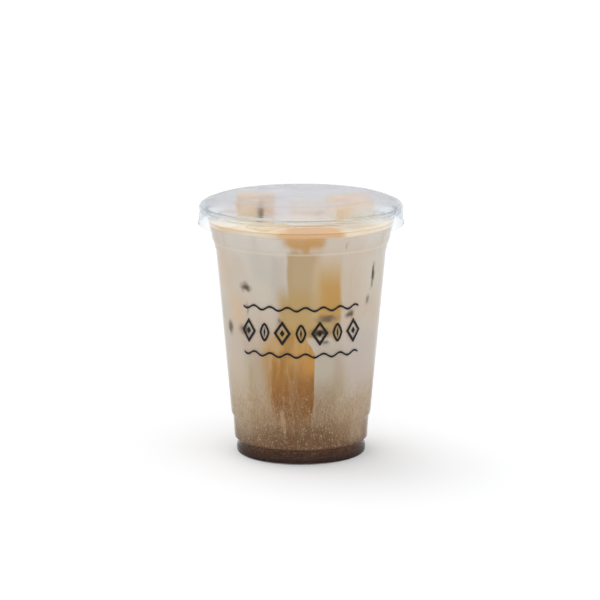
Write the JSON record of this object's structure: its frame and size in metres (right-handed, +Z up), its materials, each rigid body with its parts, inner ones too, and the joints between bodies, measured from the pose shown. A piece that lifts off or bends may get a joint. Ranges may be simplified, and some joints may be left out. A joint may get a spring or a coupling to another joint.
{
  "type": "iced latte",
  "caption": "Milky iced coffee with ice, in a tapered clear plastic cup under a flat clear lid with a crossed straw slit.",
  "frame": {"origin": "centre of the ring that the cup stands on", "axes": "+Z up along the axis of the cup; +Y away from the side with the coffee streak, which faces -Y"},
  "size_m": [0.1006, 0.1006, 0.1273],
  "materials": {
    "clear_cup": "clear thermoformed plastic, smooth and glossy",
    "clear_lid": "clear thermoformed plastic, slightly cloudy",
    "settled_coffee": "dark coffee settled under the milk, wet",
    "milky_coffee": "milk marbled with coffee, wet",
    "printed_ink": "opaque black ink printed on the cup",
    "ice": "wet cloudy ice"
  },
  "bodies": {
    "root": {"cup": "clear_cup", "lid": "clear_lid", "coffee_base": "settled_coffee", "latte": "milky_coffee", "ice_left": "ice", "ice_right": "ice", "ice_back": "ice", "ice_front": "ice"}
  },
  "joints": []
}
